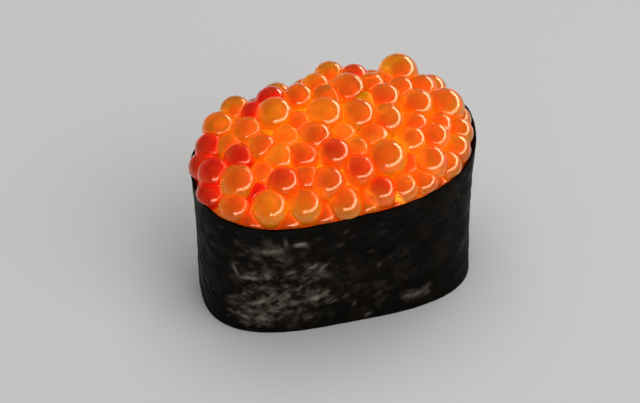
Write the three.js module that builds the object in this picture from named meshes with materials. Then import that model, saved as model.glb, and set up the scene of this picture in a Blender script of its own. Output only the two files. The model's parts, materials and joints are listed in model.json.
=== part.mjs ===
// Gunkan sushi: an oblong pad of pressed rice inside an upright strip of nori,
// heaped above the strip's rim with salmon roe.
//
// Millimetres, +Z up. The long side runs along X. The origin is the middle of
// the footprint's bounding box, on the plane that the sushi rests on.
import * as THREE from "three";

// ---- Driving dimensions ---------------------------------------------------
const RIM_HEIGHT = 27.9; // width of the nori strip, which stands on its edge
const TOP_HALF_LENGTH = 25.0; // outline at the rim
const TOP_HALF_WIDTH = 15.6;
const TOP_SQUARENESS = 2.62; // superellipse exponent, 2 is an ellipse
const BASE_HALF_LENGTH = 23.85; // outline on the plate, where the rice holds it
const BASE_HALF_WIDTH = 14.15;
const BASE_SQUARENESS = 2.9;
const FLARE_POWER = 1.7; // above 1: the wall leans out mostly near the rim
// Hand-formed unevenness of the outline, as shares of its radius.
const TOP_UNEVEN = { end: -0.033, side: 0.012, skew: 0.044, nose: 0.003, flat: 0.007 };
const BASE_UNEVEN = { end: -0.03, side: 0.011, skew: 0.008, nose: -0.023, flat: -0.014 };

const NORI_THICKNESS = 0.45;
const LAP_START = 0.3; // where the strip's hidden inner end lies, as a share of the way round
const LAP_LENGTH = 11.0; // how far the outer end runs on over the inner one
const LAP_GAP = 0.2; // between the two plies
const LAP_RAMP = 7.0; // run over which the outer ply climbs onto the inner end
const RIM_WAVE = 0.22; // unevenness of the cut edge

const CLEARANCE = 0.32; // between pieces that touch
const RICE_HEIGHT = 16.5; // top of the pressed rice
const RICE_CROWN = 1.1; // it is a little higher in the middle
const RICE_BASE_ROUND = 0.8; // softened lower edge

const EGG_DIAMETER = 6.0;
const ROE_RIM_CENTRES = 0.35; // height of the outermost eggs' centres over the rim
const ROE_CROWN = 5.6; // further rise of the centres in the middle of the heap
const ROE_CROWN_POWER = 3.0;
const ROE_BACK_RISE = 2.3; // the heap is higher along its +Y side
const ROE_END_FALL = 0.46; // and a little lower towards +X
const VALLEY = 0.2; // height of the hollows over the eggs' centres, in egg diameters
const ROE_OVERHANG = 0.9; // most that the outer eggs bulge past the strip's outer face
// The eggs of the top layer, which give the heap its uneven outline: place of
// the centre and radius.
const TOP_EGGS = `
-23.3 -4.2 28.2 2.8 ; -23.2 1.7 29.1 2.8 ; -22.9 -1.3 26.6 2.7 ; -22.3 -1.6 30.4 2.9
-21.8 -6.7 25.6 2.8 ; -21.7 4.1 24.8 2.8 ; -21.4 4.3 30.6 2.8 ; -20.6 6.5 27.0 2.9
-20.5 -8.4 28.3 2.9 ; -19.4 8.1 24.4 2.5 ; -19.2 7.3 32.0 2.9 ; -18.9 -5.2 30.8 3.3
-18.4 2.7 31.5 2.6 ; -17.9 -10.2 26.4 3.0 ; -17.9 10.3 28.8 2.9 ; -17.6 -0.7 31.8 2.8
-15.8 -10.9 23.4 3.0 ; -15.6 10.1 32.5 2.8 ; -15.1 4.1 33.0 2.8 ; -15.0 -10.8 29.2 3.3
-14.5 -5.0 31.2 2.6 ; -14.0 10.8 27.0 2.8 ; -13.7 -0.3 32.8 2.8 ; -12.9 7.7 32.8 2.7
-12.2 -12.4 27.0 2.7 ; -11.8 -7.9 31.5 2.9 ; -11.3 -3.4 32.6 2.8 ; -11.1 11.8 29.0 3.0
-9.8 5.4 34.3 3.3 ; -9.5 9.6 33.7 2.8 ; -9.3 -12.0 29.4 3.1 ; -9.0 0.5 33.0 2.7
-8.8 -12.4 24.4 2.9 ; -8.4 11.7 26.4 3.1 ; -7.9 -7.7 31.1 3.0 ; -7.8 12.0 31.5 3.0
-7.5 -4.1 32.8 2.8 ; -6.7 11.8 23.0 3.0 ; -6.3 -12.6 27.0 2.9 ; -6.3 2.7 33.4 2.7
-5.2 12.9 28.9 2.7 ; -4.9 8.4 34.3 2.8 ; -4.6 -9.6 31.2 3.1 ; -4.6 -1.2 33.7 3.1
-3.3 12.4 24.8 2.7 ; -2.5 -12.7 29.0 3.1 ; -2.4 12.4 30.9 3.0 ; -2.2 -5.2 33.2 2.9
-1.7 3.0 34.3 3.5 ; -1.2 10.7 33.7 2.8 ; -0.6 12.5 27.0 2.9 ; 0.3 -1.1 32.9 2.7
1.2 -8.6 31.8 2.9 ; 1.5 -12.2 27.0 2.9 ; 1.6 -4.7 32.2 2.8 ; 2.1 13.9 32.8 2.8
3.8 1.6 34.0 3.3 ; 3.8 7.9 34.3 3.3 ; 3.8 12.5 27.0 3.0 ; 4.0 -12.1 29.4 2.8
4.1 -11.9 23.2 2.7 ; 5.3 -2.8 32.4 3.1 ; 5.8 11.4 33.3 2.8 ; 5.8 12.7 30.0 2.8
6.3 -7.5 32.0 3.5 ; 7.2 12.4 26.0 2.9 ; 7.8 -11.9 29.1 2.8 ; 8.0 8.3 33.6 2.8
8.4 -0.2 33.5 3.1 ; 9.0 -10.8 25.0 3.0 ; 9.4 4.6 34.0 2.9 ; 9.4 12.6 29.7 3.1
10.5 12.0 24.6 2.9 ; 10.8 9.9 32.1 2.8 ; 11.5 -4.6 32.0 2.8 ; 11.7 -10.8 28.4 2.8
13.0 -1.1 31.9 2.9 ; 13.0 7.1 32.4 2.9 ; 13.0 11.9 27.0 2.7 ; 13.6 -8.5 30.4 3.1
13.9 11.9 32.4 3.5 ; 14.3 -9.2 26.0 2.8 ; 14.6 2.6 32.9 3.1 ; 15.5 -4.3 31.4 2.9
16.6 -8.2 28.5 2.8 ; 16.6 10.4 27.0 3.0 ; 16.8 7.4 31.8 2.8 ; 17.4 -1.1 30.7 2.9
17.7 -6.5 25.6 3.0 ; 18.4 9.3 24.2 2.8 ; 18.9 9.0 29.5 3.0 ; 19.0 -5.5 29.0 2.8
19.5 2.5 31.4 3.5 ; 19.9 -3.9 26.2 2.7 ; 19.9 -2.3 22.8 3.1 ; 20.5 -1.9 29.3 2.8
20.9 -0.2 25.6 2.9 ; 21.0 7.7 27.0 2.7 ; 21.3 1.7 28.6 2.8 ; 21.4 5.3 24.7 2.8
`;

const AROUND_NORI = 120; // facets round the strip
const LEVELS_NORI = 3;
const AROUND_RICE = 72;
const RINGS_HEAP = 24; // of the heap's top, from the middle to the rim
const AROUND_HEAP = 6 * RINGS_HEAP;

// ---- Outline --------------------------------------------------------------
const DENSE = 1440;
const mix = (a, b, t) => a + (b - a) * t;
const signedPower = (v, p) => Math.sign(v) * Math.abs(v) ** p;

// One point of the outline at angle t, at share u of the height (0 plate, 1 rim).
function rawOutline(t, u) {
  const flare = Math.max(0, u) ** FLARE_POWER;
  const a = mix(BASE_HALF_LENGTH, TOP_HALF_LENGTH, flare);
  const b = mix(BASE_HALF_WIDTH, TOP_HALF_WIDTH, flare);
  const n = mix(BASE_SQUARENESS, TOP_SQUARENESS, u);
  const x = a * signedPower(Math.cos(t), 2 / n);
  const y = b * signedPower(Math.sin(t), 2 / n);
  const th = Math.atan2(y / b, x / a);
  const w = (key) => mix(BASE_UNEVEN[key], TOP_UNEVEN[key], u);
  const k =
    1 +
    w("end") * Math.cos(th) +
    w("side") * Math.sin(th) +
    w("skew") * Math.sin(2 * th) +
    w("nose") * Math.cos(3 * th) +
    w("flat") * Math.sin(3 * th);
  return [x * k, y * k];
}

// The outline at share u as evenly spaced points with outward normals. The
// first one is at the +X end, and they run anticlockwise.
const outlineCache = new Map();
function outline(u) {
  const key = u.toFixed(5);
  if (outlineCache.has(key)) return outlineCache.get(key);
  const dense = Array.from({ length: DENSE }, (_, i) => rawOutline((i / DENSE) * 2 * Math.PI, u));
  const run = [0];
  for (let i = 0; i < DENSE; i++) {
    const p = dense[i], q = dense[(i + 1) % DENSE];
    run.push(run[i] + Math.hypot(q[0] - p[0], q[1] - p[1]));
  }
  const total = run[DENSE];
  const at = (s) => {
    const target = (((s % 1) + 1) % 1) * total;
    let lo = 0, hi = DENSE;
    while (hi - lo > 1) {
      const mid = (lo + hi) >> 1;
      if (run[mid] <= target) lo = mid;
      else hi = mid;
    }
    const f = (target - run[lo]) / (run[lo + 1] - run[lo]);
    const p = dense[lo], q = dense[(lo + 1) % DENSE];
    return [mix(p[0], q[0], f), mix(p[1], q[1], f)];
  };
  const made = { at, total, normal: (s) => {
    const e = 0.004, p = at(s - e), q = at(s + e);
    const l = Math.hypot(q[0] - p[0], q[1] - p[1]);
    return [(q[1] - p[1]) / l, -(q[0] - p[0]) / l];
  } };
  outlineCache.set(key, made);
  return made;
}
// A point of the outline at share s of the way round, moved out by d.
function outlinePoint(s, u, d) {
  const o = outline(u), p = o.at(s), n = o.normal(s);
  return [p[0] + n[0] * d, p[1] + n[1] * d];
}
const GIRTH = outline(1).total;

// ---- Mesh helpers ---------------------------------------------------------
function geometry(points, faces) {
  const g = new THREE.BufferGeometry();
  g.setAttribute("position", new THREE.BufferAttribute(new Float32Array(points.flat()), 3));
  g.setIndex(faces.flat());
  g.computeVertexNormals();
  return g;
}

// A closed body from rings stacked from the middle of its underside to the
// middle of its top, with a single point at each end. Rings may differ in
// count; all start at the same bearing and run anticlockwise.
function ringBody(bottom, rings, top) {
  const points = [bottom], faces = [], first = [];
  for (const ring of rings) {
    first.push(points.length);
    points.push(...ring);
  }
  points.push(top);
  const id = (r, i) => first[r] + (i % rings[r].length);
  const end = rings.length - 1, last = points.length - 1;
  rings[0].forEach((_, i) => faces.push([0, id(0, i + 1), id(0, i)]));
  for (let r = 0; r < end; r++) {
    const na = rings[r].length, nb = rings[r + 1].length;
    for (let i = 0, j = 0; i < na || j < nb; ) {
      const low = j >= nb || (i < na && (i + 1) / na <= (j + 0.999) / nb);
      if (low) faces.push([id(r, i), id(r, i + 1), id(r + 1, j)]), i++;
      else faces.push([id(r, i), id(r + 1, j + 1), id(r + 1, j)]), j++;
    }
  }
  rings[end].forEach((_, i) => faces.push([id(end, i), id(end, i + 1), last]));
  return geometry(points, faces);
}

// ---- Nori: one strip, wound once round with its end lapped over its start ----
function rimHeight(turn) {
  const a = turn * 2 * Math.PI;
  return RIM_HEIGHT + RIM_WAVE * (0.6 * Math.sin(2 * a + 0.7) + 0.4 * Math.sin(5 * a + 2.1));
}
function noriStrip() {
  const lap = LAP_LENGTH / GIRTH, ramp = LAP_RAMP / GIRTH;
  const turns = 1 + lap, steps = Math.round(AROUND_NORI * turns);
  const climb = (w) => {
    const f = Math.min(1, Math.max(0, (w - (1 - ramp)) / ramp));
    return (NORI_THICKNESS + LAP_GAP) * f * f * (3 - 2 * f);
  };
  const points = [], faces = [];
  const grid = { outer: [], inner: [] };
  for (let i = 0; i <= steps; i++) {
    const w = (i / steps) * turns, s = LAP_START + w, out = climb(w);
    const high = rimHeight(LAP_START + w);
    for (const side of ["outer", "inner"]) {
      const column = [];
      for (let j = 0; j <= LEVELS_NORI; j++) {
        const u = j / LEVELS_NORI;
        const p = outlinePoint(s, u, out - (side === "inner" ? NORI_THICKNESS : 0));
        column.push(points.length);
        points.push([p[0], p[1], u * high]);
      }
      grid[side].push(column);
    }
  }
  const quad = (a, b, c, d) => faces.push([a, b, c], [a, c, d]);
  for (let i = 0; i < steps; i++) {
    const o = grid.outer[i], O = grid.outer[i + 1], n = grid.inner[i], N = grid.inner[i + 1];
    for (let j = 0; j < LEVELS_NORI; j++) {
      quad(o[j], O[j], O[j + 1], o[j + 1]);
      quad(N[j], n[j], n[j + 1], N[j + 1]);
    }
    quad(o[LEVELS_NORI], O[LEVELS_NORI], N[LEVELS_NORI], n[LEVELS_NORI]);
    quad(n[0], N[0], O[0], o[0]);
  }
  for (let j = 0; j < LEVELS_NORI; j++) {
    const o = grid.outer[0], n = grid.inner[0], O = grid.outer[steps], N = grid.inner[steps];
    quad(n[j], o[j], o[j + 1], n[j + 1]);
    quad(O[j], N[j], N[j + 1], O[j + 1]);
  }
  return geometry(points, faces);
}

// ---- Rice: pressed into the strip, flat underneath -------------------------
function riceTop(share) {
  return RICE_HEIGHT + RICE_CROWN * (1 - share * share);
}
function ricePad() {
  const inset = -(NORI_THICKNESS + CLEARANCE);
  const ring = (count, scale, z, d) =>
    Array.from({ length: count }, (_, i) => {
      const p = outlinePoint(i / count, z / RIM_HEIGHT, inset + d);
      return [p[0] * scale, p[1] * scale, z];
    });
  const n = AROUND_RICE, rim = riceTop(1);
  const rings = [
    ring(n / 3, 0.5, 0, -RICE_BASE_ROUND),
    ring(n, 1, 0, -RICE_BASE_ROUND),
    ring(n, 1, 0.3, -0.25),
    ring(n, 1, RICE_BASE_ROUND, 0),
    ring(n, 1, rim * 0.5, 0),
    ring(n, 1, rim, 0),
  ];
  for (const share of [2 / 3, 1 / 3]) {
    rings.push(ring(n * share, share, rim, 0).map(([x, y]) => [x, y, riceTop(share)]));
  }
  return ringBody([0, 0, 0], rings, [0, 0, riceTop(0)]);
}

// ---- Roe: a heap of eggs up to its uneven outline --------------------------
function heapShare(x, y) {
  // 0 in the middle and 1 at the rim, by the outline along the same direction
  const n = TOP_SQUARENESS;
  return (Math.abs(x / TOP_HALF_LENGTH) ** n + Math.abs(y / TOP_HALF_WIDTH) ** n) ** (1 / n);
}
function centreHeight(x, y) {
  const share = Math.min(1, heapShare(x, y));
  const crown = ROE_CROWN * (1 - share ** ROE_CROWN_POWER);
  const slope = (ROE_BACK_RISE * y) / TOP_HALF_WIDTH - (ROE_END_FALL * x) / TOP_HALF_LENGTH;
  return RIM_HEIGHT + ROE_RIM_CENTRES + crown + slope;
}
const EGGS = TOP_EGGS.trim().split(/[;\n]/).map((row) => {
  const [x, y, z, r] = row.trim().split(/ +/).map(Number);
  return { x, y, z, r };
});
function heapSurface(x, y, share, edge) {
  // the hollows between the eggs run down to the rim over the outermost fifth
  const t = Math.max(0, share - 0.8) / 0.2;
  let z = mix(centreHeight(x, y) + EGG_DIAMETER * VALLEY, edge, t * t);
  for (const e of EGGS) {
    const d2 = (x - e.x) ** 2 + (y - e.y) ** 2;
    if (d2 < e.r * e.r) z = Math.max(z, e.z + Math.sqrt(e.r * e.r - d2));
  }
  return z;
}
// How far the outermost eggs reach past the strip's outer face at share s.
function bulgeAt(s) {
  const from = 1.2, p = outlinePoint(s, 1, -from), n = outline(1).normal(s);
  let reach = -from;
  for (const e of EGGS) {
    const along = (e.x - p[0]) * n[0] + (e.y - p[1]) * n[1];
    const across = (e.x - p[0]) * -n[1] + (e.y - p[1]) * n[0];
    if (Math.abs(across) < e.r) reach = Math.max(reach, Math.sqrt(e.r * e.r - across * across) + along - from);
  }
  return Math.max(-0.7, Math.min(ROE_OVERHANG, reach));
}
function roeHeap() {
  const inside = -(NORI_THICKNESS + CLEARANCE);
  const ring = (count, make) => Array.from({ length: count }, (_, i) => make(i / count));
  const wall = (u, height, d) =>
    ring(AROUND_HEAP, (s) => [...outlinePoint(s, u, d(s)), height(s)]);
  const rings = [];
  // underside, on the rice
  for (const share of [1 / 3, 2 / 3]) {
    rings.push(
      ring((AROUND_HEAP / 2) * share, (s) => {
        const p = outlinePoint(s, RICE_HEIGHT / RIM_HEIGHT, inside);
        return [p[0] * share, p[1] * share, riceTop(share) + CLEARANCE];
      }),
    );
  }
  // up the inside of the strip and out over its edge
  rings.push(wall(RICE_HEIGHT / RIM_HEIGHT, () => riceTop(1) + CLEARANCE, () => inside));
  rings.push(wall(0.8, () => RIM_HEIGHT * 0.8, () => inside));
  rings.push(wall(1, (s) => rimHeight(s) - 0.25, () => inside));
  rings.push(wall(1, (s) => rimHeight(s) + 0.36, () => inside + 0.12));
  rings.push(wall(1, (s) => rimHeight(s) + 0.6, (s) => Math.max(inside + 0.2, bulgeAt(s) - 0.9)));
  rings.push(wall(1, (s) => rimHeight(s) + 1.2, bulgeAt));
  // the lumpy top
  for (let k = RINGS_HEAP; k > 0; k--) {
    const share = k / RINGS_HEAP;
    rings.push(
      ring(6 * k, (s) => {
        const edge = outlinePoint(s, 1, bulgeAt(s) - 0.05);
        const x = edge[0] * share, y = edge[1] * share;
        const low = rimHeight(s) + 1.5;
        return [x, y, Math.max(low, heapSurface(x, y, share, low))];
      }),
    );
  }
  return ringBody([0, 0, riceTop(0) + CLEARANCE], rings, [0, 0, heapSurface(0, 0, 0, RIM_HEIGHT)]);
}

// ---- The group ------------------------------------------------------------
const MATERIALS = {
  nori: new THREE.MeshStandardMaterial({ color: 0x14160f, roughness: 0.55, metalness: 0 }),
  rice: new THREE.MeshStandardMaterial({ color: 0xeeeadd, roughness: 0.5, metalness: 0 }),
  roe: new THREE.MeshStandardMaterial({ color: 0xf04a08, roughness: 0.12, metalness: 0 }),
};
function piece(name, geometry, material) {
  const mesh = new THREE.Mesh(geometry, material);
  mesh.name = name;
  return mesh;
}
const sushi = new THREE.Group();
sushi.add(piece("nori_wrap", noriStrip(), MATERIALS.nori));
sushi.add(piece("rice_base", ricePad(), MATERIALS.rice));
sushi.add(piece("roe_heap", roeHeap(), MATERIALS.roe));

// The origin goes to the middle of the footprint's box.
const box = new THREE.Box3().setFromObject(sushi, true);
sushi.position.set(-(box.min.x + box.max.x) / 2, -(box.min.y + box.max.y) / 2, 0);

export default sushi;
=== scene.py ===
"""Gunkan sushi: nori strip, pressed rice and a heap of salmon roe.

Shapes are worked out in millimetres in the sushi's own frame (X along its
length, Z up) and become metres when the meshes are made.
"""
import json
import math

import bpy
import numpy as np
from mathutils import Matrix, Vector, noise

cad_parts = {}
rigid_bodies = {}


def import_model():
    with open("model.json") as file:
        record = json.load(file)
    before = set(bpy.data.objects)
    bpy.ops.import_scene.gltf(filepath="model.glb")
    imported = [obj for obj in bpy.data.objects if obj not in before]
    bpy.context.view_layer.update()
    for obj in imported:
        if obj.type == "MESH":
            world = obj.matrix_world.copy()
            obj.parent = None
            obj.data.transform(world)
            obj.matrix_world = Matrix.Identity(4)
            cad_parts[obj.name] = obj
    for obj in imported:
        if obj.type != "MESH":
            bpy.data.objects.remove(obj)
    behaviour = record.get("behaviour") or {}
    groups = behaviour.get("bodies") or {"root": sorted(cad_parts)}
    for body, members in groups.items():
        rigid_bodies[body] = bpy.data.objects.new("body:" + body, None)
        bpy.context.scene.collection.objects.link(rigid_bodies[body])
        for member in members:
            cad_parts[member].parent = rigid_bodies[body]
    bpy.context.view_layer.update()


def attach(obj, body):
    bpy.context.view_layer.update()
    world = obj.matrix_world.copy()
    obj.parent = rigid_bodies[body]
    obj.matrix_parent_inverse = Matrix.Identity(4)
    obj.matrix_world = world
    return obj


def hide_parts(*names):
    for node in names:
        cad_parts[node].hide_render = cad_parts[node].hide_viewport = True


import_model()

# ---- Sizes, as in the CAD model -------------------------------------------
RIM = 27.9
TOP_A, TOP_B, TOP_N = 25.0, 15.6, 2.62
BASE_A, BASE_B, BASE_N = 23.85, 14.15, 2.9
FLARE = 1.7
TOP_H = (-0.033, 0.012, 0.044, 0.003, 0.007)
BASE_H = (-0.030, 0.011, 0.008, -0.023, -0.014)
NORI_T = 0.45
LAP_START, LAP_LENGTH, LAP_RAMP = 0.3, 11.0, 7.0
RIM_WAVE = 0.22
RICE_TOP = 16.5
RICE_CROWN = 1.1
# The CAD group is moved so that its footprint's middle is the origin.
SHIFT = np.array([0.6943, -0.4095, 0.0])
MM = 0.001

rng = np.random.default_rng(20)


# ---- Outline ----------------------------------------------------------------
def raw_outline(t, u):
    flare = max(0.0, u) ** FLARE
    a = BASE_A + (TOP_A - BASE_A) * flare
    b = BASE_B + (TOP_B - BASE_B) * flare
    n = BASE_N + (TOP_N - BASE_N) * u
    c, s = np.cos(t), np.sin(t)
    x = a * np.sign(c) * np.abs(c) ** (2 / n)
    y = b * np.sign(s) * np.abs(s) ** (2 / n)
    th = np.arctan2(y / b, x / a)
    w = [hb + (ht - hb) * u for hb, ht in zip(BASE_H, TOP_H)]
    k = (
        1
        + w[0] * np.cos(th)
        + w[1] * np.sin(th)
        + w[2] * np.sin(2 * th)
        + w[3] * np.cos(3 * th)
        + w[4] * np.sin(3 * th)
    )
    return np.stack([x * k, y * k], -1)


_outlines = {}


def outline(u):
    """Evenly spaced closed outline at share u of the height, and its length."""
    key = round(u, 5)
    if key not in _outlines:
        dense = raw_outline(np.linspace(0, 2 * np.pi, 1441), u)
        run = np.concatenate([[0], np.cumsum(np.linalg.norm(np.diff(dense, axis=0), axis=1))])
        total = run[-1]

        def at(s, run=run, dense=dense, total=total):
            d = np.mod(s, 1.0) * total
            return np.stack([np.interp(d, run, dense[:, 0]), np.interp(d, run, dense[:, 1])], -1)

        _outlines[key] = (at, total)
    return _outlines[key]


def outline_point(s, u, out):
    """Points at shares s of the way round at height share u, moved out."""
    s = np.asarray(s, float)
    at, _ = outline(u)
    p = at(s)
    e = 0.004
    d = at(s + e) - at(s - e)
    d /= np.linalg.norm(d, axis=-1, keepdims=True)
    n = np.stack([d[..., 1], -d[..., 0]], -1)
    return p + n * np.asarray(out, float)[..., None], n


GIRTH = outline(1.0)[1]


def rim_height(turn):
    a = np.asarray(turn, float) * 2 * np.pi
    return RIM + RIM_WAVE * (0.6 * np.sin(2 * a + 0.7) + 0.4 * np.sin(5 * a + 2.1))


def wall_distance(xy, u, out=0.0):
    """How far inside the outline at height share u each point is, in mm."""
    ring, normal = outline_point(np.arange(720) / 720, u, np.full(720, out))
    d = np.linalg.norm(xy[:, None, :] - ring[None], axis=2)
    k = d.argmin(1)
    side = ((xy - ring[k]) * normal[k]).sum(1)
    return -side, normal[k]


# ---- Mesh helpers -------------------------------------------------------------
def make_object(name, verts, faces, material=None, smooth=True):
    """verts in mm in the sushi's frame"""
    mesh = bpy.data.meshes.new(name)
    v = (np.asarray(verts, float) + SHIFT) * MM
    faces = np.asarray(faces, dtype=np.int32)
    mesh.vertices.add(len(v))
    mesh.vertices.foreach_set("co", v.ravel())
    mesh.loops.add(faces.size)
    mesh.loops.foreach_set("vertex_index", faces.ravel())
    mesh.polygons.add(len(faces))
    k = faces.shape[1]
    mesh.polygons.foreach_set("loop_start", np.arange(len(faces), dtype=np.int32) * k)
    mesh.polygons.foreach_set("loop_total", np.full(len(faces), k, dtype=np.int32))
    mesh.polygons.foreach_set("use_smooth", np.full(len(faces), smooth))
    mesh.update(calc_edges=True)
    mesh.validate()
    if material:
        mesh.materials.append(material)
    obj = bpy.data.objects.new(name, mesh)
    bpy.context.scene.collection.objects.link(obj)
    return obj


def point_attribute(obj, name, values):
    values = np.asarray(values, float)
    if values.ndim == 1:
        a = obj.data.attributes.new(name, "FLOAT", "POINT")
        a.data.foreach_set("value", values)
    else:
        a = obj.data.attributes.new(name, "FLOAT_COLOR", "POINT")
        a.data.foreach_set("color", np.concatenate([values, np.ones((len(values), 1))], 1).ravel())


def icosphere(level):
    import bmesh

    bm = bmesh.new()
    bmesh.ops.create_icosphere(bm, subdivisions=level, radius=1.0)
    v = np.array([p.co[:] for p in bm.verts])
    f = np.array([[q.index for q in p.verts] for p in bm.faces])
    bm.free()
    return v / np.linalg.norm(v, axis=1, keepdims=True), f


# ---- Node helpers ----------------------------------------------------------------
class Nodes:
    def __init__(self, name):
        self.mat = bpy.data.materials.new(name)
        self.mat.use_nodes = True
        self.t = self.mat.node_tree
        self.bsdf = self.t.nodes["Principled BSDF"]

    def new(self, kind, **values):
        n = self.t.nodes.new(kind)
        for k, v in values.items():
            if k.startswith("in_"):
                n.inputs[k[3:].replace("_", " ")].default_value = v
            else:
                setattr(n, k, v)
        return n

    def link(self, a, b):
        self.t.links.new(a, b)

    def set(self, **values):
        for k, v in values.items():
            self.bsdf.inputs[k.replace("_", " ")].default_value = v

    def coords(self, scale=(1, 1, 1), rotation=(0, 0, 0)):
        c = self.new("ShaderNodeTexCoord")
        m = self.new("ShaderNodeMapping")
        m.inputs["Scale"].default_value = scale
        m.inputs["Rotation"].default_value = rotation
        self.link(c.outputs["Object"], m.inputs["Vector"])
        return m.outputs["Vector"]

    def noise(self, vector, scale, detail=3.0, rough=0.55, distortion=0.0, kind="FBM"):
        n = self.new("ShaderNodeTexNoise")
        n.noise_type = kind
        n.inputs["Scale"].default_value = scale
        n.inputs["Detail"].default_value = detail
        n.inputs["Roughness"].default_value = rough
        n.inputs["Distortion"].default_value = distortion
        self.link(vector, n.inputs["Vector"])
        return n.outputs["Fac"]

    def ramp(self, value, stops, interpolation="LINEAR"):
        r = self.new("ShaderNodeValToRGB")
        r.color_ramp.interpolation = interpolation
        els = r.color_ramp.elements
        while len(els) > 1:
            els.remove(els[-1])
        els[0].position, els[0].color = stops[0][0], colour4(stops[0][1])
        for p, c in stops[1:]:
            e = els.new(p)
            e.color = colour4(c)
        self.link(value, r.inputs["Fac"])
        return r.outputs["Color"]

    def math(self, op, a, b=None, clamp=False):
        m = self.new("ShaderNodeMath", operation=op, use_clamp=clamp)
        for i, v in enumerate([a, b]):
            if v is None:
                continue
            if isinstance(v, (int, float)):
                m.inputs[i].default_value = v
            else:
                self.link(v, m.inputs[i])
        return m.outputs["Value"]

    def mix(self, fac, a, b, blend="MIX"):
        m = self.new("ShaderNodeMix", data_type="RGBA", blend_type=blend)
        for i, v in ((0, fac), (6, a), (7, b)):
            if isinstance(v, (int, float)):
                m.inputs[i].default_value = v
            elif isinstance(v, tuple):
                m.inputs[i].default_value = colour4(v)
            else:
                self.link(v, m.inputs[i])
        return m.outputs[2]

    def bump(self, height, strength, distance, normal=None):
        b = self.new("ShaderNodeBump")
        b.inputs["Strength"].default_value = strength
        b.inputs["Distance"].default_value = distance
        self.link(height, b.inputs["Height"])
        if normal is not None:
            self.link(normal, b.inputs["Normal"])
        return b.outputs["Normal"]

    def attribute(self, name):
        a = self.new("ShaderNodeAttribute", attribute_name=name)
        return a.outputs["Color"], a.outputs["Fac"]


def colour4(c):
    if isinstance(c, (int, float)):
        return (c, c, c, 1.0)
    return (*c, 1.0) if len(c) == 3 else c


# ---- Nori ------------------------------------------------------------------------
def nori_material():
    m = Nodes("nori")
    v = m.coords()
    patches = m.noise(v, 230, 5, 0.62)
    colour = m.ramp(patches, [(0.36, (0.0003, 0.0003, 0.0002)), (0.52, (0.0018, 0.0013, 0.0008)), (0.68, (0.0092, 0.0064, 0.0038))])
    # painted sheen: a greyer haze broken up by noise, and painted glints as paler strokes; then paler fibres
    painted_sheen, _ = m.attribute("painted_sheen")
    sheen_breakup = m.ramp(m.noise(v, 620, 4, 0.65, 0.4), [(0.42, 0.0), (0.62, 1.0)])
    colour = m.mix(m.math("MULTIPLY", painted_sheen, sheen_breakup), colour, (0.150, 0.120, 0.092))
    # painted glints: paler strokes where light catches the sheet
    painted_glint, _ = m.attribute("painted_glint")
    glint_breakup = m.ramp(m.noise(v, 1500, 3, 0.6), [(0.32, 0.35), (0.58, 1.0)])
    colour = m.mix(m.math("MULTIPLY", painted_glint, glint_breakup), colour, (0.46, 0.385, 0.315))
    fibre = m.noise(m.coords((1, 1, 2.2)), 900, 3, 0.65, 0.6)
    streak = m.math("MULTIPLY", m.ramp(fibre, [(0.50, 0.0), (0.72, 1.0)]), 0.07)
    colour = m.mix(streak, colour, (0.06, 0.05, 0.036))
    m.link(colour, m.bsdf.inputs["Base Color"])
    rough = m.ramp(m.noise(v, 330, 4, 0.6), [(0.35, 0.42), (0.65, 0.7)])
    m.link(rough, m.bsdf.inputs["Roughness"])
    n = m.bump(m.noise(v, 420, 5, 0.62), 0.55, 0.00025)
    n = m.bump(fibre, 0.45, 0.00012, n)
    m.link(n, m.bsdf.inputs["Normal"])
    m.set(Specular_IOR_Level=0.04, Specular_Tint=(1.0, 0.82, 0.66, 1.0))
    return m.mat


def crinkle(p):
    """Height in mm of the sheet's own relief at a point of its plane (mm)."""
    q = Vector((p[0], p[1], 0.0))
    warp = noise.noise(q * 0.09 + Vector((7, 3, 1))) * 3.0
    long_wave = noise.noise(Vector((q.x * 0.07, q.y * 0.05, 4.0)))
    a = noise.noise(Vector((q.x * 0.28 + warp, q.y * 0.42, 9.0)))
    b = noise.noise(Vector((q.x * 0.5, q.y * 1.05 + warp * 0.6, 17.0)))
    c = noise.noise(Vector((q.x * 1.5, q.y * 2.2, 23.0)))
    ridge = 1 - abs(b) * 2.4
    return 0.14 * long_wave + 0.12 * a + 0.05 * ridge + 0.035 * c


# Painted glints on the sheet, as paler strokes: place along it and up it, length and width in mm, slope in degrees and
# strength.
GLINT_MARKS = """
52.1 23.7 1.9 0.9 -8 .95 ; 47.6 22.2 3.4 0.8 8 .50 ; 45.6 21.6 2.2 0.6 20 .38 ; 49.6 24.4 0.6 2.0 0 .35
40.0 16.0 0.5 1.9 12 .80 ; 42.3 14.5 3.6 0.7 3 .72 ; 45.9 15.4 1.3 0.7 -20 .55 ; 50.0 16.2 1.7 0.8 25 .50
53.9 17.1 2.2 0.5 38 .70 ; 55.7 16.4 2.4 0.5 40 .55 ; 43.7 8.3 3.8 0.7 24 .85 ; 46.2 10.2 1.6 0.5 62 .50
53.9 8.4 2.4 0.9 22 .95 ; 56.0 9.5 1.3 0.4 30 .45 ; 40.8 3.7 1.9 0.8 -35 .70 ; 44.0 3.9 2.4 0.7 10 .72
42.0 5.6 1.4 0.5 -20 .42 ; 48.6 5.2 1.7 0.5 15 .36 ; 51.2 11.8 1.5 0.5 50 .40 ; 48.9 12.6 1.3 0.5 -30 .36
63.5 1.3 1.3 0.6 30 .45 ; 61.0 5.0 1.4 0.4 60 .26 ; 66.0 14.0 1.2 0.5 70 .20
"""
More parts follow.
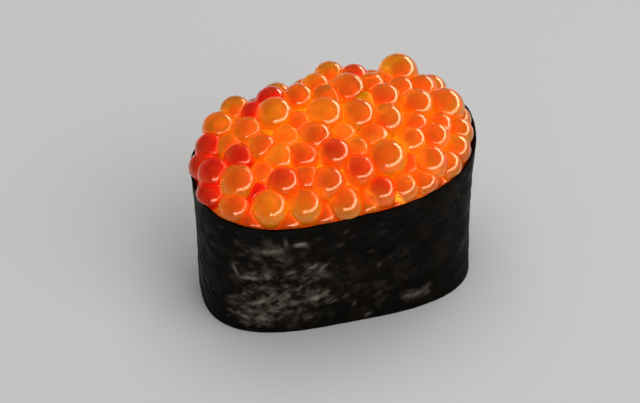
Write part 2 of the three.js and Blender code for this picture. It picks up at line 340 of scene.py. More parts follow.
# Patches of painted sheen: middle, half length and half height in mm, and strength.
SHEEN_PATCHES = """
47.0 21.6 6.5 3.6 .60 ; 44.0 14.5 6.0 3.8 .62 ; 53.0 15.6 5.5 3.4 .55 ; 46.5 8.2 8.5 4.6 .85 ; 54.0 8.6 4.5 3.6 .62
43.5 3.6 5.5 2.6 .80 ; 51.5 3.4 5.5 2.2 .42 ; 72.6 3.7 4.6 1.5 .70 ; 60.0 12.0 4.0 8.0 .16 ; 66.0 6.0 2.2 6.0 .22
70.0 12.0 2.0 7.0 .14 ; 21.0 9.0 7.0 4.0 .35 ; 8.0 19.0 6.0 4.0 .40 ; 93.0 11.0 7.0 5.0 .45 ; 112.0 20.0 8.0 4.0 .45
124.0 7.0 7.0 4.0 .50
"""


def table(text):
    return [[float(v) for v in r.split()] for r in text.replace("\n", ";").split(";") if r.strip()]


def painted_sheen_and_glints(x, y):
    """Painted sheen and painted glints at points of the sheet's plane (mm)."""
    bend = np.array([[noise.noise(Vector((a * 0.5, b * 0.5, 6.0))), noise.noise(Vector((a * 0.5, b * 0.5, 26.0)))] for a, b in zip(x, y)])
    painted_sheen = np.zeros(len(x))
    for cx, cy, a, b, strength in table(SHEEN_PATCHES):
        r = np.hypot((x - cx + 3.0 * bend[:, 0]) / a, (y - cy + 2.4 * bend[:, 1]) / b)
        t = np.clip((1.15 - r) / 0.9, 0, 1)
        painted_sheen = np.maximum(painted_sheen, strength * t * t * (3 - 2 * t))
    glint_strokes = table(GLINT_MARKS)
    # more painted glints round each patch of painted sheen, and faint ones all over the sheet
    for cx, cy, a, b, strength in table(SHEEN_PATCHES):
        for _ in range(int(a * b * strength * 0.75) + 1):
            glint_strokes.append([cx + a * rng.normal(0, 0.5), cy + b * rng.normal(0, 0.5), rng.uniform(0.7, 2.2), rng.uniform(0.35, 0.6), rng.normal(12, 32), strength * rng.uniform(0.15, 0.55)])
    for _ in range(60):
        glint_strokes.append([rng.uniform(0, GIRTH), rng.uniform(1, RIM - 1), rng.uniform(0.6, 1.8), rng.uniform(0.3, 0.5), rng.normal(0, 40), rng.uniform(0.05, 0.16)])
    unglinted = np.ones(len(x))
    for cx, cy, length, width, slope, strength in glint_strokes:
        near = (np.abs(x - cx) < 3.5) & (np.abs(y - cy) < 3.5)
        dx, dy = x[near] - cx + 0.3 * bend[near, 0], y[near] - cy + 0.5 * bend[near, 1]
        c, q = math.cos(math.radians(slope)), math.sin(math.radians(slope))
        r = np.hypot((dx * c + dy * q) / (0.5 * length), (dy * c - dx * q) / (0.5 * width + 0.1))
        unglinted[near] *= 1 - strength * np.exp(-(r**2.4))
    return painted_sheen, 1 - unglinted


def make_nori():
    across, up = 520, 90
    turns = 1 + LAP_LENGTH / GIRTH
    ramp = LAP_RAMP / GIRTH
    w = np.linspace(0, turns, across + 1)
    f = np.clip((w - (1 - ramp)) / ramp, 0, 1)
    gap = 0.1
    climb = (NORI_T + gap) * f * f * (3 - 2 * f)
    g = np.linspace(0, 1, up + 1)
    relief = np.zeros((across + 1, up + 1))
    for i in range(across + 1):
        x = (w[i] % 1.0) * GIRTH
        # the lapped end follows the ply under it
        for j in range(up + 1):
            relief[i, j] = crinkle((x, g[j] * RIM))
    seam = np.clip(np.minimum(np.abs(w - 0.0), 1.0) * GIRTH / 6.0, 0, 1)
    relief *= 1.0
    edge = np.array([0.16 * noise.noise(Vector((x * 0.35, 2.0, 0))) + 0.07 * noise.noise(Vector((x * 1.6, 5.0, 0))) for x in (w % 1.0) * GIRTH])
    foot = np.array([0.10 * noise.noise(Vector((x * 0.3, 12.0, 0))) for x in (w % 1.0) * GIRTH])
    high = rim_height(LAP_START + w) + edge
    low = np.maximum(0.0, 0.06 + foot)
    outer, inner = [], []
    for j in range(up + 1):
        z = low + (high - low) * g[j]
        calm = min(1.0, g[j] * 8 + 0.25, (1 - g[j]) * 6 + 0.45)
        bend = 0.16 * max(0.0, g[j] - 0.9) / 0.1 * np.sin(w * 37 + 1.3)
        r = relief[:, j] * calm + bend
        o, _ = outline_point(LAP_START + w, g[j], climb + r - 0.03)
        n, _ = outline_point(LAP_START + w, g[j], climb + r * 0.9 - 0.03 - NORI_T)
        outer.append(np.column_stack([o, z]))
        inner.append(np.column_stack([n, z]))
    outer, inner = np.array(outer), np.array(inner)  # level, station
    levels, stations = up + 1, across + 1
    verts = np.concatenate([outer.reshape(-1, 3), inner.reshape(-1, 3)])
    base = levels * stations
    idx = lambda side, j, i: side * base + j * stations + i
    J, I = np.meshgrid(np.arange(up), np.arange(across), indexing="ij")
    J, I = J.ravel(), I.ravel()
    faces = [
        np.stack([idx(0, J, I), idx(0, J, I + 1), idx(0, J + 1, I + 1), idx(0, J + 1, I)], 1),
        np.stack([idx(1, J, I + 1), idx(1, J, I), idx(1, J + 1, I), idx(1, J + 1, I + 1)], 1),
    ]
    i = np.arange(across)
    faces.append(np.stack([idx(0, up, i), idx(0, up, i + 1), idx(1, up, i + 1), idx(1, up, i)], 1))
    faces.append(np.stack([idx(1, 0, i), idx(1, 0, i + 1), idx(0, 0, i + 1), idx(0, 0, i)], 1))
    j = np.arange(up)
    faces.append(np.stack([idx(1, j, 0), idx(0, j, 0), idx(0, j + 1, 0), idx(1, j + 1, 0)], 1))
    faces.append(np.stack([idx(0, j, across), idx(1, j, across), idx(1, j + 1, across), idx(0, j + 1, across)], 1))
    obj = make_object("nori_sheet", verts, np.concatenate(faces), nori_material())
    along, over = np.meshgrid((w % 1.0) * GIRTH, g * RIM)
    # the painted sheen and painted glints go on the sheet as colour attributes, weaker on its inner face
    for name, share in zip(("painted_sheen", "painted_glint"), painted_sheen_and_glints(along.ravel(), over.ravel())):
        point_attribute(obj, name, np.repeat(np.concatenate([share, share * 0.4])[:, None], 3, axis=1))
    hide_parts("nori_wrap")
    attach(obj, "root")
    return obj


# ---- Roe ---------------------------------------------------------------------------
# The eggs of the top layer on the near side: place of the centre (mm), radius,
# and kind: o orange, y paler and yellower, m redder, r red.
TOP_EGGS = """
-24.0 -4.3 28.2 2.82 r ; -23.9 1.8 29.1 2.82 r ; -22.3 -1.6 30.4 2.94 r ; -21.4 4.3 30.6 2.82 r
-20.5 -8.4 28.3 2.94 o ; -19.2 7.3 32.0 2.94 y ; -18.9 -5.2 30.8 3.33 o ; -17.6 -0.7 31.8 2.82 r
-15.6 10.1 32.5 2.77 o ; -15.1 4.1 33.0 2.82 o ; -15.0 -10.8 29.2 3.33 y ; -13.7 -0.3 32.8 2.82 o
-11.8 -7.9 31.5 2.94 m ; -11.3 -3.4 32.6 2.82 y ; -9.8 5.4 34.3 3.33 y ; -9.5 9.6 33.7 2.77 r
-9.3 -12.0 29.4 3.13 o ; -7.5 -4.1 32.8 2.82 o ; -4.9 8.4 34.3 2.77 o ; -4.6 -9.6 31.2 3.13 o
-4.6 -1.2 33.7 3.13 o ; -2.5 -12.8 29.0 3.13 o ; -2.2 -5.2 33.2 2.94 m ; -1.7 3.0 34.3 3.53 y
-1.2 10.7 33.7 2.77 o ; 1.2 -8.6 31.8 2.94 m ; 1.6 -4.7 32.2 2.82 o ; 2.1 13.9 32.8 2.77 o
3.8 7.9 34.3 3.33 o ; 3.8 1.6 34.0 3.33 o ; 4.0 -12.1 29.4 2.77 m ; 5.8 11.4 33.3 2.82 m
6.3 -7.5 32.0 3.53 o ; 7.8 -12.1 29.1 2.77 o ; 8.0 8.3 33.6 2.82 o ; 8.4 -0.2 33.5 3.13 o
9.4 4.6 34.0 2.94 o ; 11.5 -4.6 32.0 2.82 o ; 12.0 -11.6 28.4 2.82 o ; 13.6 -8.5 30.4 3.13 o
14.0 12.2 32.4 3.55 o ; 14.6 2.6 32.9 3.13 o ; 15.5 -4.3 31.4 2.94 o ; 16.8 7.4 31.8 2.82 o
17.2 -9.0 28.5 2.82 o ; 19.5 2.5 31.4 3.53 o ; 19.8 -6.0 29.0 2.82 o ; 21.5 -2.2 29.3 2.82 o
22.7 1.5 28.6 2.82 o
"""

EGG_R = 3.02
HEAP_RIM, HEAP_CROWN, HEAP_POWER, HEAP_BACK, HEAP_END = 0.35, 5.6, 3.0, 2.3, -0.46
CORE_DEPTH, CORE_INSET = 3.6, 0.9
# Where the heap's outline stands against the background, in the picture's
# frame: the eggs of the far side stay behind it.
SKYLINE = np.array([
    (186, 175), (190, 151), (203, 128), (218, 104), (234, 97), (247, 103), (258, 94), (271, 87), (284, 91), (300, 86),
    (314, 73), (330, 64), (350, 68), (367, 74), (380, 62), (397, 56), (414, 62), (430, 80), (444, 89), (460, 97), (474, 112),
])

# ---- The photograph's camera, in the sushi's frame ---------------------------------
TILT, TURN, FAR, FOCAL = math.radians(46.0), 0.267, 560.0, 3091.8
RIGHT = np.array([math.cos(TURN), -math.sin(TURN), 0.0])
AHEAD = np.array([math.sin(TURN) * math.cos(TILT), math.cos(TURN) * math.cos(TILT), -math.sin(TILT)])
UP = np.cross(RIGHT, AHEAD)
LOOK_AT = np.array([-3.253 * math.cos(TURN) + 15.584 * math.sin(TURN), 3.253 * math.sin(TURN) + 15.584 * math.cos(TURN), 0.0])
EYE = LOOK_AT - FAR * AHEAD


def picture(p):
    """Place in the 640 x 403 frame and distance of points."""
    q = p - EYE
    z = q @ AHEAD
    return 320 + FOCAL * (q @ RIGHT) / z, 201.5 - FOCAL * (q @ UP) / z, z


def heap_share(xy):
    return (np.abs(xy[:, 0] / TOP_A) ** TOP_N + np.abs(xy[:, 1] / TOP_B) ** TOP_N) ** (1 / TOP_N)


def heap_height(xy):
    s = np.minimum(1, heap_share(xy))
    return RIM + HEAP_RIM + HEAP_CROWN * (1 - s**HEAP_POWER) + HEAP_BACK * xy[:, 1] / TOP_B + HEAP_END * xy[:, 0] / TOP_A


def rice_height(xy):
    return RICE_TOP + RICE_CROWN * (1 - np.minimum(1, heap_share(xy)) ** 2)


def core_height(xy):
    """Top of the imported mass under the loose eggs, for their centres."""
    return np.maximum(rice_height(xy) + 1.0, heap_height(xy) - CORE_DEPTH)


def overhang(n):
    """How far eggs may lean out over the rim on the side that faces along n."""
    return 0.15 + 0.75 * np.clip(n[:, 1], 0, 1) + 0.2 * np.clip(-n[:, 0], 0, 1) - 0.6 * np.clip(n[:, 0], 0, 1) ** 2


def inner_wall(p):
    """Distance inside the strip's inner face, and the direction out, for points."""
    d, n = wall_distance(p[:, :2], 1.0)
    low = np.clip(p[:, 2] / RIM, 0, 1) ** FLARE
    return d - NORI_T - 1.25 * (1 - low), n


def place_eggs():
    rows = [r.split() for r in TOP_EGGS.replace("\n", ";").split(";") if r.strip()]
    fixed = np.array([[float(v) for v in r[:4]] for r in rows])
    kinds = [r[4] for r in rows]
    nf = len(fixed)

    # candidates: one layer on the heap's surface, and a round along the rim
    cand = []
    for i in range(30):
        r = EGG_R * rng.normal(0.97, 0.05)
        p, _ = outline_point([(i + 0.25 * rng.uniform(-1, 1)) / 30], 1.0, [0.15 - r])
        cand.append((p[0, 0], p[0, 1], RIM + 0.9 + rng.uniform(-0.4, 0.4), r))
    pitch = EGG_R * 1.62
    for j in range(-8, 9):
        for i in range(-14, 15):
            x = (i + 0.5 * (j % 2)) * pitch + rng.uniform(-0.6, 0.6)
            y = j * pitch * 0.87 + rng.uniform(-0.6, 0.6)
            xy = np.array([[x, y]])
            if heap_share(xy)[0] < 0.9:
                cand.append((x, y, heap_height(xy)[0] + rng.normal(-0.1, 0.35), EGG_R * rng.normal(1.0, 0.07)))
    kept = []
    for c in cand:
        others = np.concatenate([fixed, np.array(kept).reshape(-1, 4)])
        if (np.linalg.norm(others[:, :3] - c[:3], axis=1) > 0.66 * (others[:, 3] + c[3])).all():
            kept.append(c)
    eggs = np.concatenate([fixed, np.array(kept)])
    pos, rad = eggs[:, :3].copy(), eggs[:, 3]
    d, n = inner_wall(pos)
    pos[:, :2] -= n * np.clip(rad - NORI_T - overhang(n) - d, 0, None)[:, None]
    free = np.arange(len(eggs)) >= nf
    fu, fv, fz = picture(fixed[:, :3])
    fr = fixed[:, 3] * FOCAL / fz
    for step in range(160):
        diff = pos[:, None] - pos[None]
        dist = np.linalg.norm(diff, axis=2) + np.eye(len(pos)) * 1e3
        gap = 0.80 * (rad[:, None] + rad[None]) - dist
        push = np.where(gap > 0, gap, 0.0)[:, :, None] * diff / dist[:, :, None]
        share = np.where(free[None, :], 0.5, 1.0)[:, :, None]
        pos[free] += 0.5 * (push * share).sum(1)[free]
        level = heap_height(pos[:, :2])
        pos[:, 2] += 0.1 * np.clip(level - pos[:, 2], -1, 1) * free
        d, n = inner_wall(pos)
        out = np.clip(rad - NORI_T - overhang(n) - d, 0, None) * free
        pos[:, :2] -= n * out[:, None]
        # behind the near side's eggs, and below the skyline
        u, v, z = picture(pos)
        r = rad * FOCAL / z
        for f in (-0.7, 0.0, 0.7):
            over = np.interp(u + f * r, SKYLINE[:, 0], SKYLINE[:, 1]) - (v - r * math.sqrt(1 - f * f))
            pos[:, 2] -= 0.5 * np.clip(over, 0, 4) / 4.0 * free
        apart = np.hypot(u[:, None] - fu[None], v[:, None] - fv[None])
        front = (apart < 0.5 * (r[:, None] + fr[None])) & (z[:, None] < fz[None] - 0.3)
        pos[:, 2] -= 0.12 * front.any(1) * free
    alive = np.ones(len(pos), bool)
    while True:
        dist = np.linalg.norm(pos[:, None] - pos[None], axis=2) + np.eye(len(pos)) * 1e3
        squeeze = (1 - dist / (rad[:, None] + rad[None])) * alive[:, None] * alive[None]
        squeeze = np.where(squeeze > 0.36, squeeze, 0).sum(1) * free * alive
        if squeeze.max() <= 0.0:
            break
        alive[squeeze.argmax()] = False
    kinds = [k for k, a in zip(kinds + [None] * (len(pos) - nf), alive) if a]
    pos, rad = pos[alive], rad[alive]

    # eggs that sit a little lower fill what is still open
    gx, gy = np.meshgrid(np.arange(-25, 25.1, 0.55), np.arange(-16, 16.1, 0.55))
    spots = np.column_stack([gx.ravel(), gy.ravel()])
    spots = spots[wall_distance(spots, 1.0)[0] > NORI_T + 1.4]
    spots = np.column_stack([spots, heap_height(spots) - 0.4])
    edge, _ = outline_point(np.arange(150) / 150, 1.0, np.full(150, -NORI_T - 0.9))
    spots = np.concatenate([spots, np.column_stack([edge, np.full(150, RIM - 0.5)])])
    tried = np.zeros(len(spots), bool)
    for _ in range(260):
        clear = (np.linalg.norm(spots[:, None] - pos[None], axis=2) - rad[None]).min(1)
        clear[tried] = -9
        k = clear.argmax()
        if clear[k] < -0.25:
            break
        tried[k] = True
        r = EGG_R * rng.normal(0.95, 0.05)
        p = spots[k].copy()
        for drop in np.arange(0.4, 5.2, 0.2):
            q = p - [0, 0, drop]
            d, n = inner_wall(q[None])
            q[:2] -= n[0] * max(0.0, r - 0.25 - d[0])
            if (np.linalg.norm(pos - q, axis=1) > 0.60 * (rad + r)).all():
                pos, rad = np.vstack([pos, q]), np.append(rad, r)
                kinds.append(None)
                break
    return pos, rad, kinds


def seen_eggs(pos, rad):
    """Whether anything of each egg shows from some side."""
    seen = np.zeros(len(pos))
    ring = [(0, 0)] + [(0.55 * math.cos(a), 0.55 * math.sin(a)) for a in np.arange(6) * math.pi / 3]
    ring += [(0.9 * math.cos(a), 0.9 * math.sin(a)) for a in np.arange(12) * math.pi / 6]
    for elevation in (8, 32, 58, 88):
        for azimuth in range(0, 360, 45 if elevation < 80 else 360):
            e, a = math.radians(elevation), math.radians(azimuth)
            ahead = -np.array([math.cos(e) * math.cos(a), math.cos(e) * math.sin(a), math.sin(e)])
            right = np.array([-math.sin(a), math.cos(a), 0.0])
            up = np.cross(right, ahead)
            u, v, z = pos @ right, pos @ up, pos @ ahead
            count = np.zeros(len(pos))
            for x, y in ring:
                du = u[:, None] + x * rad[:, None] - u[None]
                dv = v[:, None] + y * rad[:, None] - v[None]
                rr = du**2 + dv**2
                inside = rr < rad[None] ** 2
                depth = np.where(inside, z[None] - np.sqrt(np.maximum(rad[None] ** 2 - rr, 0)), np.inf)
                own = np.diag(depth).copy()
                np.fill_diagonal(depth, np.inf)
                hit = own <= depth.min(1)
                if elevation < 20:  # the strip hides what is below its rim
                    hit &= pos[:, 2] + y * rad > RIM
                count += hit
            seen = np.maximum(seen, count / len(ring))
    return seen


def shape_eggs(pos, rad, top):
    """Egg meshes, flattened where they press on each other and on the strip."""
    fine, coarse = icosphere(4), icosphere(3)
    verts, unit, faces, owner, start = [], [], [], [], 0
    for i in range(len(pos)):
        sv, sf = fine if top[i] else coarse
        # a little out of round, each on its own axis
        axis = rng.normal(size=3)
        axis /= np.linalg.norm(axis)
        stretch = rng.normal(0.0, 0.028)
        v = sv * (1 - 0.5 * stretch) + axis * (sv @ axis)[:, None] * 1.5 * stretch
        v = v * rad[i]
        for j in np.where(np.linalg.norm(pos - pos[i], axis=1) < rad[i] + rad.max() + 0.3)[0]:
            if j == i:
                continue
            n = pos[j] - pos[i]
            d = np.linalg.norm(n)
            n /= d
            if d > rad[i] + rad[j]:
                continue
            t = (d * d + rad[i] ** 2 - rad[j] ** 2) / (2 * d) - 0.02
            h = v @ n
            soft = 0.06
            over = soft * np.logaddexp(0, np.clip((h - t) / soft, -60, 60))
            v = v - n * over[:, None]
        p = v + pos[i]
        near = p[:, 2] < RIM + 0.55
        if near.any():
            d, n = inner_wall(p)
            over = np.clip(0.12 - d, 0, None)
            over *= np.clip((RIM + 0.55 - p[:, 2]) / 0.3, 0, 1)
            p[:, :2] -= n * over[:, None]
        verts.append(p)
        unit.append(sv)
        faces.append(sf)
        owner.append(i)
    return verts, unit, faces


# colours: the clear fluid of an egg, and the drop of red oil in it
FLUID = {"o": (0.89, 0.64, 0.010), "y": (0.97, 0.64, 0.010), "m": (0.86, 0.42, 0.008), "r": (0.82, 0.13, 0.003)}
OIL = {"o": (0.86, 0.145, 0.002), "y": (0.95, 0.33, 0.003), "m": (0.80, 0.034, 0.002), "r": (0.74, 0.008, 0.001)}
DROP = {"o": 0.42, "y": 0.34, "m": 0.50, "r": 0.58}


def shell_material():
    m = Nodes("roe_shell")
    c, _ = m.attribute("egg_colour")
    v = m.coords()
    cloud = m.noise(v, 420, 3, 0.5)
    c = m.mix(m.math("MULTIPLY", m.ramp(cloud, [(0.4, 0.0), (0.7, 1.0)]), 0.3), c, (0.88, 0.26, 0.010))
    m.link(c, m.bsdf.inputs["Base Color"])
    gel = m.new("ShaderNodeVolumeAbsorption")
    gel.inputs["Color"].default_value = (0.96, 0.54, 0.03, 1.0)
    gel.inputs["Density"].default_value = 40.0
    m.link(gel.outputs["Volume"], m.t.nodes["Material Output"].inputs["Volume"])
    m.set(Transmission_Weight=0.55, IOR=1.20, Subsurface_Weight=1.0, Subsurface_Radius=(1.0, 0.35, 0.08), Subsurface_Scale=0.0022)
    m.set(Coat_Weight=1.0, Coat_Roughness=0.12, Coat_IOR=1.45, Specular_IOR_Level=0.2, Specular_Tint=(1.0, 0.42, 0.08, 1.0))
    m.link(m.ramp(m.noise(v, 500, 3, 0.5), [(0.3, 0.28), (0.7, 0.38)]), m.bsdf.inputs["Roughness"])
    n = m.bump(m.noise(v, 700, 3, 0.5), 0.12, 0.00012)
    m.link(n, m.bsdf.inputs["Normal"])
    return m.mat


def flesh_material(name, radius, rough):
    m = Nodes(name)
    c, _ = m.attribute("egg_colour")
    v = m.coords()
    cloud = m.noise(v, 480, 3, 0.55)
    c = m.mix(m.math("MULTIPLY", m.ramp(cloud, [(0.4, 0.0), (0.7, 1.0)]), 0.25), c, (0.85, 0.13, 0.004))
    m.link(c, m.bsdf.inputs["Base Color"])
    m.link(m.ramp(cloud, [(0.3, rough), (0.7, rough + 0.12)]), m.bsdf.inputs["Roughness"])
    m.set(Specular_IOR_Level=0.15, Subsurface_Weight=1.0, Subsurface_Radius=(1.0, 0.34, 0.08), Subsurface_Scale=radius)
    m.link(m.bump(cloud, 0.15, 0.0002), m.bsdf.inputs["Normal"])
    return m.mat


def joined(parts, faces):
    starts = np.cumsum([0] + [len(p) for p in parts[:-1]])
    return np.concatenate(parts), np.concatenate([f + s for f, s in zip(faces, starts)])


def make_roe():
    pos, rad, kinds = place_eggs()
    seen = seen_eggs(pos, rad)
    top = seen > 0.18
    verts, unit, faces = shape_eggs(pos, rad, top)
    fluid, oil, drop, lean = [], [], [], []
    for k, p, share in zip(kinds, pos, seen):
        if k is None:
            roll, red = rng.random(), 0.30 if p[0] < -9 else 0.05
            k = "r" if roll < red else "y" if roll < red + 0.12 and share > 0.4 else "o"
        lift = min(rng.uniform(0.84, 1.16), 1.05)
        fluid.append(np.clip(np.array(FLUID[k]) * [1, lift, lift], 0, 1))
        oil.append(np.clip(np.array(OIL[k]) * [1, lift, lift], 0, 1))
        drop.append(DROP[k] * rng.uniform(0.85, 1.15))
        # the oil floats to the top of the egg, more or less
        d = 0.2 * RIGHT + np.array([0, 0, 1.0]) + rng.normal(0, 0.3, 3)
        lean.append(d / np.linalg.norm(d))
    show, below = np.where(top)[0], np.where(~top)[0]
    shells = make_object("roe_eggs", *joined([verts[i] for i in show], [faces[i] for i in show]), shell_material())
    tint = []
    for i in show:
        cap = np.clip((unit[i] @ lean[i] + 0.05) / 0.85, 0, 1)[:, None]
        cap = cap * cap * (3 - 2 * cap) * min(1.0, 1.7 * drop[i])
        # redder below and down by the strip, where less light comes through from behind
        low = np.clip((RIM + 2.4 - verts[i][:, 2]) / 2.4, 0, 1)[:, None]
        low = np.maximum(low, 0.9 * np.clip(-unit[i][:, 2:3], 0, 1))
        tint.append((fluid[i] + (oil[i] - fluid[i]) * 0.9 * cap) * (1 - low * [0, 0.30, 0.15]))
    point_attribute(shells, "egg_colour", np.concatenate(tint))
    # the drop of oil floats above the middle of each egg
    sv, sf = icosphere(3)
    inside = []
    for i in show:
        size = drop[i] * np.array([rng.uniform(0.9, 1.1), rng.uniform(0.9, 1.1), rng.uniform(0.75, 0.95)])
        inside.append(pos[i] + (sv * size + lean[i] * 0.24) * rad[i])
    yolks = make_object("roe_yolks", *joined(inside, [sf] * len(inside)), flesh_material("roe_yolk", 0.0012, 0.3))
    point_attribute(yolks, "egg_colour", np.concatenate([np.tile(0.8 * oil[i] + 0.2 * fluid[i], (len(sv), 1)) for i in show]))
    deep = make_object("roe_below", *joined([verts[i] for i in below], [faces[i] for i in below]), flesh_material("roe_deep", 0.002, 0.12))
    # the eggs underneath are painted darker and redder than the same eggs on top: painted shade
    point_attribute(deep, "egg_colour", np.concatenate([np.tile(fluid[i] * [1, 0.8, 0.6], (len(verts[i]), 1)) for i in below]))
    shells.visible_shadow = yolks.visible_shadow = False

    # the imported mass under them, down to the rice
    rings, count = [], 150
    steps = [(1.0, None, "low"), (1.0, None, "top")] + [(s, None, "top") for s in (0.93, 0.84, 0.74, 0.63, 0.51, 0.38, 0.24, 0.1)]
    wall, _ = outline_point(np.arange(count) / count, 0.82, np.full(count, -NORI_T - CORE_INSET))
    for share, _, level in steps:
        xy = wall * share
        z = rice_height(xy) + 0.05
        if level == "top":
            z = np.maximum(z + 0.6, np.minimum(core_height(xy), RIM - 2.2 + (1 - share) * 22))
            z += [0.7 * noise.noise(Vector((x * 0.55, y * 0.55, 3.0))) for x, y in xy]
        rings.append(np.column_stack([xy, z]))
    v = np.concatenate([[[0, 0, rings[0][:, 2].max()]], *rings, [[0, 0, rings[-1][:, 2].mean()]]])
    v[0, 2] = rice_height(v[:1, :2])[0] + 0.05
    f = []
    for i in range(count):
        k = (i + 1) % count
        f.append((0, 1 + k, 1 + i))
        for r in range(len(rings) - 1):
            a, b = 1 + r * count, 1 + (r + 1) * count
            f += [(a + i, a + k, b + k), (a + i, b + k, b + i)]
        f.append((1 + (len(rings) - 1) * count + i, 1 + (len(rings) - 1) * count + k, len(v) - 1))
    core = make_object("roe_core", v, f, flesh_material("roe_mass", 0.002, 0.2))
    point_attribute(core, "egg_colour", np.tile([0.90, 0.30, 0.015], (len(v), 1)))
    for o in (shells, yolks, deep, core):
        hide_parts("roe_heap")
        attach(o, "root")
    print("eggs", len(pos), "seen", len(show), "triangles", [len(o.data.polygons) for o in (shells, yolks, deep, core)])


# ---- Rice ---------------------------------------------------------------------------
def rice_material():
    m = Nodes("rice")
    v = m.coords()
    n = m.noise(v, 260, 4, 0.55)
    c = m.ramp(n, [(0.3, (0.80, 0.77, 0.68)), (0.7, (0.90, 0.88, 0.81))])
    m.link(c, m.bsdf.inputs["Base Color"])
    rough = m.ramp(m.noise(v, 700, 3, 0.5), [(0.3, 0.28), (0.7, 0.5)])
    m.link(rough, m.bsdf.inputs["Roughness"])
    m.link(m.bump(m.noise(v, 1200, 3, 0.5), 0.25, 0.0001), m.bsdf.inputs["Normal"])
    m.set(Subsurface_Weight=0.6, Subsurface_Radius=(1.0, 0.85, 0.65), Subsurface_Scale=0.0012)
    return m.mat


def make_rice():
    material = rice_material()
    # core: the pressed pad, a little inside the grains
    rings = []
    for z, inset in ((0.9, 1.6), (0.9, 1.0), (1.6, 0.95), (8.0, 0.8), (RICE_TOP, 0.8)):
        p, _ = outline_point(np.arange(180) / 180, z / RIM, np.full(180, -NORI_T - inset))
        rings.append(np.column_stack([p, np.full(180, z)]))
    rings[0][:, :2] *= 0.5
    for share in (0.66, 0.33):
        q = rings[4].copy()
        q[:, :2] *= share
        q[:, 2] = RICE_TOP + RICE_CROWN * (1 - share**2)
        rings.append(q)
    v = np.concatenate([[[0, 0, 0.9]], *rings, [[0, 0, RICE_TOP + RICE_CROWN]]])
    f = []
    for i in range(180):
        k = (i + 1) % 180
        f.append((0, 1 + k, 1 + i))
        for r in range(len(rings) - 1):
            a, b = 1 + r * 180, 1 + (r + 1) * 180
            f += [(a + i, a + k, b + k), (a + i, b + k, b + i)]
        a = 1 + (len(rings) - 1) * 180
        f.append((a + i, a + k, len(v) - 1))
    core = make_object("rice_core", v, f, material)
    # grains: pressed flat on the underside, lying all ways
    sv, sf = icosphere(2)
    verts, faces, start = [], [], 0
    for layer, z0 in ((0, 1.05), (1, 2.2)):
        for j in range(-8, 9):
            for i in range(-9, 10):
                x = (i + 0.5 * (j % 2)) * 3.35 + rng.uniform(-0.9, 0.9) + layer * 1.4
                y = j * 2.25 + rng.uniform(-0.7, 0.7) + layer * 1.0
                xy = np.array([[x, y]])
                d, n = wall_distance(xy, 0.02)
                if d[0] < NORI_T + 1.3:
                    continue
                length, wide = rng.normal(2.55, 0.22), rng.normal(1.22, 0.08)
                turn = rng.uniform(0, math.pi)
                if d[0] < 4:  # along the wall
                    turn = math.atan2(n[0, 0], -n[0, 1]) + rng.normal(0, 0.25)
                tip = rng.normal(0, 0.22)
                g = sv.copy()
                g[:, 0] = np.sign(g[:, 0]) * np.abs(g[:, 0]) ** 0.9
                g = g * [length, wide, wide * rng.uniform(0.82, 1.0)]
                g[:, 2] += 0.06 * g[:, 0] ** 2 * rng.uniform(-1, 1)
                rot = Matrix.Rotation(turn, 3, "Z") @ Matrix.Rotation(tip, 3, "Y")
                g = g @ np.array(rot).T + [x, y, z0 + rng.uniform(-0.15, 0.25)]
                low = g[:, 2] < 0.12
                g[low, 2] = 0.12 + (g[low, 2] - 0.12) * 0.08
                g[:, 2] = np.maximum(g[:, 2], 0.02)
                d, n = wall_distance(g[:, :2], 0.02)
                over = np.clip(NORI_T + 0.4 - d, 0, None)
                g[:, :2] -= n * over[:, None]
                verts.append(g)
                faces.append(sf + start)
                start += len(g)
    grains = make_object("rice_grains", np.concatenate(verts), np.concatenate(faces), material)
    for o in (core, grains):
        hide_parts("rice_base")
        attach(o, "root")
    return core, grains


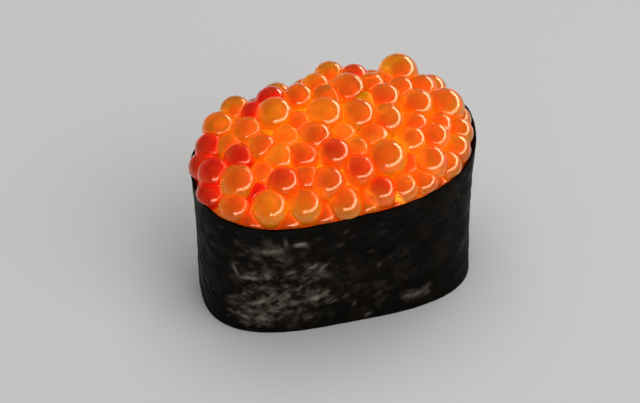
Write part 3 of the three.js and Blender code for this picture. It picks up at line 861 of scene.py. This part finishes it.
# ---- Stage --------------------------------------------------------------------------
def make_stage():
    mesh = bpy.data.meshes.new("floor")
    mesh.from_pydata([(-3, -3, 0), (3, -3, 0), (3, 3, 0), (-3, 3, 0)], [], [(0, 1, 2, 3)])
    floor = bpy.data.objects.new("floor", mesh)
    bpy.context.scene.collection.objects.link(floor)
    m = Nodes("floor")
    m.set(Base_Color=(0.90, 0.90, 0.89, 1), Roughness=1.0, Specular_IOR_Level=0.0)
    mesh.materials.append(m.mat)

    world = bpy.data.worlds.new("studio")
    bpy.context.scene.world = world
    world.use_nodes = True
    bg = world.node_tree.nodes["Background"]
    bg.inputs["Color"].default_value = (1.0, 1.0, 1.0, 1)
    bg.inputs["Strength"].default_value = 0.13

    def area(name, place, target, size, size_y, watts, colour=(1, 1, 1)):
        data = bpy.data.lights.new(name, "AREA")
        data.shape = "RECTANGLE"
        data.size, data.size_y = size, size_y
        data.energy = watts
        data.color = colour
        o = bpy.data.objects.new(name, data)
        bpy.context.scene.collection.objects.link(o)
        o.location = Vector(place)
        o.rotation_mode = "QUATERNION"
        o.rotation_quaternion = (Vector(target) - Vector(place)).to_track_quat("-Z", "Y")
        return o

    # directions are given in the camera's own right / back / up
    right = Vector((RIGHT[0], RIGHT[1], 0))
    back = Vector((math.sin(TURN), math.cos(TURN), 0))
    up = Vector((0, 0, 1))
    aim = (0, 0, 0.03)
    # a low bow of strip lights round the right-hand side, for the gloss alone
    # (peach on the eggs, paler and weaker on the rest)
    wet, dry = bpy.data.collections.new("wet"), bpy.data.collections.new("dry")
    for o in bpy.context.scene.objects:
        if o.type == "MESH":
            (wet if o.name.startswith("roe") else dry).objects.link(o)
    for k, beta in enumerate(range(-88, 60, 24)):
        a = math.radians(beta)
        out = right * math.cos(a) + back * math.sin(a)
        for kind, watts, colour in ((wet, 3.6, (1.0, 0.38, 0.24)), (dry, 1.1, (1.0, 0.86, 0.72))):
            strip = area("bow_%s_%d" % (kind.name, k), out * 0.62 + up * 0.17, aim, 0.264, 0.160, watts, colour)
            strip.visible_diffuse = strip.visible_transmission = strip.visible_camera = False
            strip.light_linking.receiver_collection = kind
    area("top", back * 0.15 + up * 0.7, aim, 0.6, 0.6, 1.05).visible_glossy = False
    area("side", right * 0.35 - back * 0.25 + up * 0.55, aim, 0.5, 0.5, 1.15).visible_glossy = False
    # keeps the floor pale
    ground = bpy.data.collections.new("ground")
    ground.objects.link(floor)
    fill = area("fill", back * 0.1 + up * 0.95, aim, 1.0, 1.0, 2.1)
    fill.visible_glossy = False
    fill.light_linking.receiver_collection = ground


def make_camera():
    data = bpy.data.cameras.new("camera")
    data.sensor_fit = "HORIZONTAL"
    data.sensor_width = 36.0
    data.lens = FOCAL * 36.0 / 640
    data.clip_start, data.clip_end = 0.05, 20
    cam = bpy.data.objects.new("camera", data)
    bpy.context.scene.collection.objects.link(cam)
    axes = Matrix((Vector(RIGHT), Vector(UP), Vector(-AHEAD))).transposed()
    cam.matrix_world = Matrix.Translation(Vector((EYE + SHIFT) * MM)) @ axes.to_4x4()
    bpy.context.scene.camera = cam


make_camera()
make_nori()
make_roe()
make_rice()
make_stage()

scene = bpy.context.scene
scene.view_settings.view_transform = "Standard"
scene.view_settings.look = "None"
